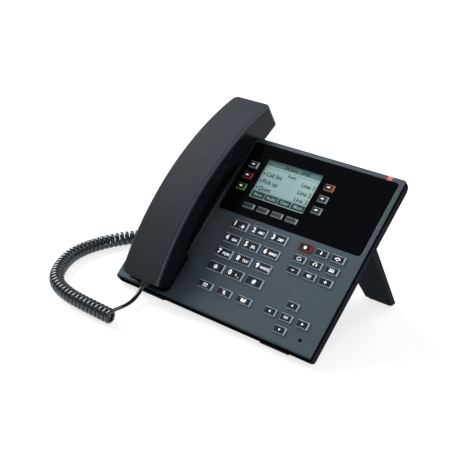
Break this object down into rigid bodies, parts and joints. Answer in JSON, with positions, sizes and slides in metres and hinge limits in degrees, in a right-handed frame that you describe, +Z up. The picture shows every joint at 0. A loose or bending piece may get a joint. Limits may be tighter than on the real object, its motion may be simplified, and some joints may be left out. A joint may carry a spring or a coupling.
{
  "type": "desk ip phone",
  "caption": "Desk IP phone with a thin sloped base on a folding stand, a display behind a gloss window, key fields and a corded handset in a cradle.",
  "frame": {"origin": "on the desk, under the middle of the phone's outline without its cord", "axes": "+X to the right of someone using the phone, +Y away from them, +Z up"},
  "size_m": [0.293, 0.226, 0.1469],
  "materials": {
    "cover_grey": "satin",
    "legend_white": "satin",
    "display_ink": "satin",
    "housing_black": "satin",
    "window_black": "gloss",
    "display_glass": "satin",
    "light_pipe": "gloss",
    "circuit_board": "satin",
    "silicone": "matte",
    "speaker_steel": "satin",
    "screw_steel": "brushed",
    "socket_black": "satin",
    "plug_clear": "gloss",
    "cord_black": "satin",
    "foot_rubber": "matte",
    "stand_black": "satin",
    "handset_grey": "satin",
    "handset_black": "satin",
    "key_dark": "satin",
    "key_red": "satin",
    "softkey_grey": "satin",
    "line_key_grey": "satin",
    "line_key_red": "satin",
    "line_key_green": "satin",
    "line_key_orange": "satin"
  },
  "bodies": {
    "base": {"top_cover": "cover_grey", "bottom_cover": "housing_black", "display_window": "window_black", "lcd_module": "display_glass", "message_light": "light_pipe", "main_board": "circuit_board", "keypad_mat": "silicone", "loudspeaker": "speaker_steel", "case_screws": "screw_steel", "rear_jacks": "socket_black", "cord_jacks": "socket_black", "base_plug": "plug_clear", "front_feet": "foot_rubber", "handset_cord": "cord_black"},
    "handset": {"handset_top_shell": "handset_grey", "handset_bottom_shell": "handset_black", "handset_capsules": "speaker_steel", "handset_plug": "plug_clear"},
    "hook": {"hook_switch": "housing_black"},
    "stand": {"stand": "stand_black", "stand_feet": "foot_rubber"},
    "key_0": {"key_0": "key_dark"},
    "key_1": {"key_1": "key_dark"},
    "key_2": {"key_2": "key_dark"},
    "key_3": {"key_3": "key_dark"},
    "key_4": {"key_4": "key_dark"},
    "key_5": {"key_5": "key_dark"},
    "key_6": {"key_6": "key_dark"},
    "key_7": {"key_7": "key_dark"},
    "key_8": {"key_8": "key_dark"},
    "key_9": {"key_9": "key_dark"},
    "key_conference": {"key_conference": "key_dark"},
    "key_contacts": {"key_contacts": "key_dark"},
    "key_down": {"key_down": "key_dark"},
    "key_hash": {"key_hash": "key_dark"},
    "key_headset": {"key_headset": "key_dark"},
    "key_hold": {"key_hold": "key_dark"},
    "key_left": {"key_left": "key_dark"},
    "key_mailbox": {"key_mailbox": "key_dark"},
    "key_mute": {"key_mute": "key_dark"},
    "key_ok": {"key_ok": "key_dark"},
    "key_record": {"key_record": "key_red"},
    "key_redial": {"key_redial": "key_dark"},
    "key_right": {"key_right": "key_dark"},
    "key_speaker": {"key_speaker": "key_dark"},
    "key_star": {"key_star": "key_dark"},
    "key_transfer": {"key_transfer": "key_dark"},
    "key_up": {"key_up": "key_dark"},
    "key_volume_down": {"key_volume_down": "key_dark"},
    "key_volume_up": {"key_volume_up": "key_dark"},
    "line_key_left_1": {"line_key_left_1": "line_key_grey"},
    "line_key_left_2": {"line_key_left_2": "line_key_red"},
    "line_key_left_3": {"line_key_left_3": "line_key_green"},
    "line_key_right_1": {"line_key_right_1": "line_key_orange"},
    "line_key_right_2": {"line_key_right_2": "line_key_grey"},
    "line_key_right_3": {"line_key_right_3": "line_key_grey"},
    "softkey_1": {"softkey_1": "softkey_grey"},
    "softkey_2": {"softkey_2": "softkey_grey"},
    "softkey_3": {"softkey_3": "softkey_grey"},
    "softkey_4": {"softkey_4": "softkey_grey"}
  },
  "joints": [
    {"name": "handset_lift", "type": "slide", "parent": "base", "child": "handset", "axis": [0, -0.6428, 0.766], "range_m": [0, 0.06], "deforming": ["handset_cord"]},
    {"name": "hook_rise", "type": "slide", "parent": "base", "child": "hook", "axis": [0, -0.6428, 0.766], "range_m": [0, 0.003]},
    {"name": "stand_fold", "type": "hinge", "parent": "base", "child": "stand", "pos_m": [0, 0.01593, 0.06186], "axis": [-1, 0, 0], "range_deg": [0, 80]},
    {"name": "key_0_press", "type": "slide", "parent": "base", "child": "key_0", "axis": [0, 0.6428, -0.766], "range_m": [0, 0.001], "stiffness_N_per_m": 400, "springref_m": -0.001},
    {"name": "key_1_press", "type": "slide", "parent": "base", "child": "key_1", "axis": [0, 0.6428, -0.766], "range_m": [0, 0.001], "stiffness_N_per_m": 400, "springref_m": -0.001},
    {"name": "key_2_press", "type": "slide", "parent": "base", "child": "key_2", "axis": [0, 0.6428, -0.766], "range_m": [0, 0.001], "stiffness_N_per_m": 400, "springref_m": -0.001},
    {"name": "key_3_press", "type": "slide", "parent": "base", "child": "key_3", "axis": [0, 0.6428, -0.766], "range_m": [0, 0.001], "stiffness_N_per_m": 400, "springref_m": -0.001},
    {"name": "key_4_press", "type": "slide", "parent": "base", "child": "key_4", "axis": [0, 0.6428, -0.766], "range_m": [0, 0.001], "stiffness_N_per_m": 400, "springref_m": -0.001},
    {"name": "key_5_press", "type": "slide", "parent": "base", "child": "key_5", "axis": [0, 0.6428, -0.766], "range_m": [0, 0.001], "stiffness_N_per_m": 400, "springref_m": -0.001},
    {"name": "key_6_press", "type": "slide", "parent": "base", "child": "key_6", "axis": [0, 0.6428, -0.766], "range_m": [0, 0.001], "stiffness_N_per_m": 400, "springref_m": -0.001},
    {"name": "key_7_press", "type": "slide", "parent": "base", "child": "key_7", "axis": [0, 0.6428, -0.766], "range_m": [0, 0.001], "stiffness_N_per_m": 400, "springref_m": -0.001},
    {"name": "key_8_press", "type": "slide", "parent": "base", "child": "key_8", "axis": [0, 0.6428, -0.766], "range_m": [0, 0.001], "stiffness_N_per_m": 400, "springref_m": -0.001},
    {"name": "key_9_press", "type": "slide", "parent": "base", "child": "key_9", "axis": [0, 0.6428, -0.766], "range_m": [0, 0.001], "stiffness_N_per_m": 400, "springref_m": -0.001},
    {"name": "key_conference_press", "type": "slide", "parent": "base", "child": "key_conference", "axis": [0, 0.6428, -0.766], "range_m": [0, 0.001], "stiffness_N_per_m": 400, "springref_m": -0.001},
    {"name": "key_contacts_press", "type": "slide", "parent": "base", "child": "key_contacts", "axis": [0, 0.6428, -0.766], "range_m": [0, 0.001], "stiffness_N_per_m": 400, "springref_m": -0.001},
    {"name": "key_down_press", "type": "slide", "parent": "base", "child": "key_down", "axis": [0, 0.6428, -0.766], "range_m": [0, 0.001], "stiffness_N_per_m": 400, "springref_m": -0.001},
    {"name": "key_hash_press", "type": "slide", "parent": "base", "child": "key_hash", "axis": [0, 0.6428, -0.766], "range_m": [0, 0.001], "stiffness_N_per_m": 400, "springref_m": -0.001},
    {"name": "key_headset_press", "type": "slide", "parent": "base", "child": "key_headset", "axis": [0, 0.6428, -0.766], "range_m": [0, 0.001], "stiffness_N_per_m": 400, "springref_m": -0.001},
    {"name": "key_hold_press", "type": "slide", "parent": "base", "child": "key_hold", "axis": [0, 0.6428, -0.766], "range_m": [0, 0.001], "stiffness_N_per_m": 400, "springref_m": -0.001},
    {"name": "key_left_press", "type": "slide", "parent": "base", "child": "key_left", "axis": [0, 0.6428, -0.766], "range_m": [0, 0.001], "stiffness_N_per_m": 400, "springref_m": -0.001},
    {"name": "key_mailbox_press", "type": "slide", "parent": "base", "child": "key_mailbox", "axis": [0, 0.6428, -0.766], "range_m": [0, 0.001], "stiffness_N_per_m": 400, "springref_m": -0.001},
    {"name": "key_mute_press", "type": "slide", "parent": "base", "child": "key_mute", "axis": [0, 0.6428, -0.766], "range_m": [0, 0.001], "stiffness_N_per_m": 400, "springref_m": -0.001},
    {"name": "key_ok_press", "type": "slide", "parent": "base", "child": "key_ok", "axis": [0, 0.6428, -0.766], "range_m": [0, 0.001], "stiffness_N_per_m": 400, "springref_m": -0.001},
    {"name": "key_record_press", "type": "slide", "parent": "base", "child": "key_record", "axis": [0, 0.6428, -0.766], "range_m": [0, 0.001], "stiffness_N_per_m": 400, "springref_m": -0.001},
    {"name": "key_redial_press", "type": "slide", "parent": "base", "child": "key_redial", "axis": [0, 0.6428, -0.766], "range_m": [0, 0.001], "stiffness_N_per_m": 400, "springref_m": -0.001},
    {"name": "key_right_press", "type": "slide", "parent": "base", "child": "key_right", "axis": [0, 0.6428, -0.766], "range_m": [0, 0.001], "stiffness_N_per_m": 400, "springref_m": -0.001},
    {"name": "key_speaker_press", "type": "slide", "parent": "base", "child": "key_speaker", "axis": [0, 0.6428, -0.766], "range_m": [0, 0.001], "stiffness_N_per_m": 400, "springref_m": -0.001},
    {"name": "key_star_press", "type": "slide", "parent": "base", "child": "key_star", "axis": [0, 0.6428, -0.766], "range_m": [0, 0.001], "stiffness_N_per_m": 400, "springref_m": -0.001},
    {"name": "key_transfer_press", "type": "slide", "parent": "base", "child": "key_transfer", "axis": [0, 0.6428, -0.766], "range_m": [0, 0.001], "stiffness_N_per_m": 400, "springref_m": -0.001},
    {"name": "key_up_press", "type": "slide", "parent": "base", "child": "key_up", "axis": [0, 0.6428, -0.766], "range_m": [0, 0.001], "stiffness_N_per_m": 400, "springref_m": -0.001},
    {"name": "key_volume_down_press", "type": "slide", "parent": "base", "child": "key_volume_down", "axis": [0, 0.6428, -0.766], "range_m": [0, 0.001], "stiffness_N_per_m": 400, "springref_m": -0.001},
    {"name": "key_volume_up_press", "type": "slide", "parent": "base", "child": "key_volume_up", "axis": [0, 0.6428, -0.766], "range_m": [0, 0.001], "stiffness_N_per_m": 400, "springref_m": -0.001},
    {"name": "line_key_left_1_press", "type": "slide", "parent": "base", "child": "line_key_left_1", "axis": [0, 0.6428, -0.766], "range_m": [0, 0.001], "stiffness_N_per_m": 400, "springref_m": -0.001},
    {"name": "line_key_left_2_press", "type": "slide", "parent": "base", "child": "line_key_left_2", "axis": [0, 0.6428, -0.766], "range_m": [0, 0.001], "stiffness_N_per_m": 400, "springref_m": -0.001},
    {"name": "line_key_left_3_press", "type": "slide", "parent": "base", "child": "line_key_left_3", "axis": [0, 0.6428, -0.766], "range_m": [0, 0.001], "stiffness_N_per_m": 400, "springref_m": -0.001},
    {"name": "line_key_right_1_press", "type": "slide", "parent": "base", "child": "line_key_right_1", "axis": [0, 0.6428, -0.766], "range_m": [0, 0.001], "stiffness_N_per_m": 400, "springref_m": -0.001},
    {"name": "line_key_right_2_press", "type": "slide", "parent": "base", "child": "line_key_right_2", "axis": [0, 0.6428, -0.766], "range_m": [0, 0.001], "stiffness_N_per_m": 400, "springref_m": -0.001},
    {"name": "line_key_right_3_press", "type": "slide", "parent": "base", "child": "line_key_right_3", "axis": [0, 0.6428, -0.766], "range_m": [0, 0.001], "stiffness_N_per_m": 400, "springref_m": -0.001},
    {"name": "softkey_1_press", "type": "slide", "parent": "base", "child": "softkey_1", "axis": [0, 0.6428, -0.766], "range_m": [0, 0.001], "stiffness_N_per_m": 400, "springref_m": -0.001},
    {"name": "softkey_2_press", "type": "slide", "parent": "base", "child": "softkey_2", "axis": [0, 0.6428, -0.766], "range_m": [0, 0.001], "stiffness_N_per_m": 400, "springref_m": -0.001},
    {"name": "softkey_3_press", "type": "slide", "parent": "base", "child": "softkey_3", "axis": [0, 0.6428, -0.766], "range_m": [0, 0.001], "stiffness_N_per_m": 400, "springref_m": -0.001},
    {"name": "softkey_4_press", "type": "slide", "parent": "base", "child": "softkey_4", "axis": [0, 0.6428, -0.766], "range_m": [0, 0.001], "stiffness_N_per_m": 400, "springref_m": -0.001}
  ],
  "couplings": [
    {"joint": "hook_rise", "follows": "handset_lift", "ratio": 0.05}
  ]
}
